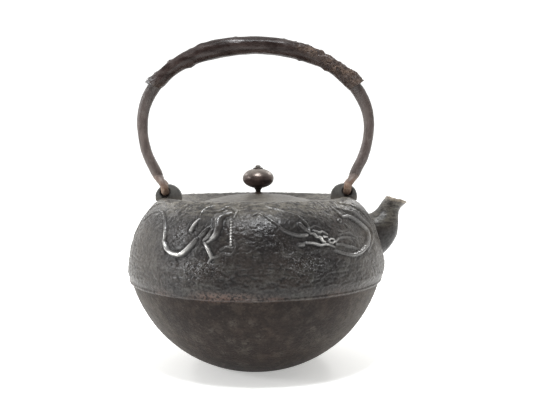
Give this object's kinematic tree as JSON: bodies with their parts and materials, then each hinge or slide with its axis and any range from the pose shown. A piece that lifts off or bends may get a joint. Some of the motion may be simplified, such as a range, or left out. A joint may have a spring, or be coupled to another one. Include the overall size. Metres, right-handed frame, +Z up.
{
  "type": "cast iron kettle",
  "caption": "Round cast iron tea kettle with a short spout, a loose domed lid with a hollow bronze knob, and a forged bail handle that swings on hooks through two lugs.",
  "frame": {"origin": "centre of the flat base the kettle stands on, on the bowl's axis", "axes": "+X from the axis towards the spout, +Y to the back, +Z up"},
  "size_m": [0.1814, 0.165, 0.2109],
  "materials": {
    "body_iron": "dark grey-brown cast iron, fine wrinkled skin, semi-gloss on the high places",
    "lug_iron": "dull grey cast iron with a cool cast",
    "lid_iron": "dusty grey-brown cast iron",
    "forged_iron": "brown-black forged iron with rust-brown patches and bark-like grip",
    "rivet_iron": "dull iron",
    "knob_bronze": "polished dark red-brown bronze",
    "dark_bronze": "blackened bronze"
  },
  "bodies": {
    "kettle": {"kettle_body": "body_iron", "spout": "body_iron", "lug_left": "lug_iron", "lug_right": "lug_iron"},
    "lid": {"lid": "lid_iron", "lid_washer": "rivet_iron", "knob_pin": "rivet_iron"},
    "knob": {"knob_bead": "knob_bronze", "knob_neck": "dark_bronze", "knob_cap": "dark_bronze"},
    "handle": {"handle_grip": "forged_iron", "handle_leg_left": "forged_iron", "handle_leg_right": "forged_iron"}
  },
  "joints": [
    {"name": "lid_lift", "type": "slide", "parent": "kettle", "child": "lid", "axis": [0, 0, 1], "range_m": [0, 0.06]},
    {"name": "knob_turn", "type": "hinge", "parent": "lid", "child": "knob", "pos_m": [0.0018, 0, 0.1195], "axis": [0, 0, 1], "continuous": true},
    {"name": "handle_swing", "type": "hinge", "parent": "kettle", "child": "handle", "pos_m": [0.0005, 0, 0.1154], "axis": [1, 0, 0], "range_deg": [-60, 60]}
  ]
}
